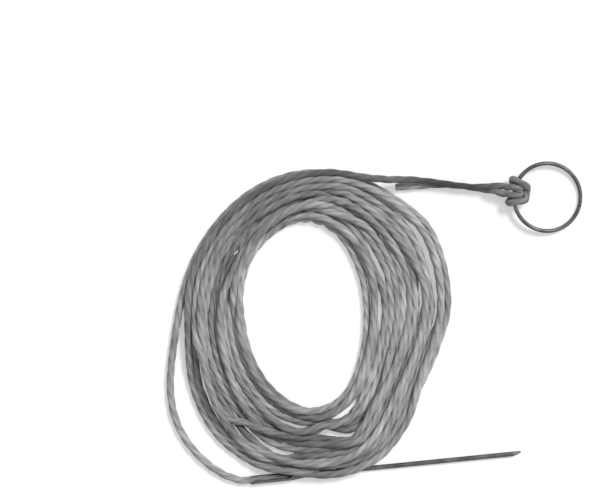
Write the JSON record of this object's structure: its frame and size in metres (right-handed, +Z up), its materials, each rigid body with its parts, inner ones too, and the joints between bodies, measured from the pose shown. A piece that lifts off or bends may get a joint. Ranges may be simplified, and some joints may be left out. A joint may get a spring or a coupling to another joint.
{
  "type": "fish stringer",
  "caption": "Soft twisted cord coiled flat, with a long blunt-pointed steel needle clinched on one end and a steel wire ring hitched on a loop at the other.",
  "frame": {"origin": "on the surface that the stringer lies on, under the middle of the box round the needle and the ring, with the cord left out", "axes": "+X along the needle toward its point, +Z up, +Y across the coil from the needle toward the ring"},
  "size_m": [0.1738, 0.122, 0.012],
  "materials": {
    "needle_steel": "dull nickel-plated steel",
    "ring_steel": "dull nickel-plated steel",
    "cord": "dark twisted cord"
  },
  "bodies": {
    "stringer": {"needle": "needle_steel", "cord_coil": "cord", "cord_needle_lead": "cord", "cord_ring_lead": "cord", "cord_tail": "cord"},
    "hitch": {"cord_hitch": "cord"},
    "ring": {"ring": "ring_steel"}
  },
  "joints": [
    {"name": "ring_swing", "type": "hinge", "parent": "stringer", "child": "hitch", "pos_m": [0.04454, 0.04757, 0.00385], "axis": [-0.2588, -0.9659, 0], "range_deg": [0, 110]},
    {"name": "ring_spin", "type": "hinge", "parent": "hitch", "child": "ring", "pos_m": [0.0575, 0.0441, 0.00232], "axis": [0.1091, -0.0292, 0.9936], "continuous": true}
  ]
}
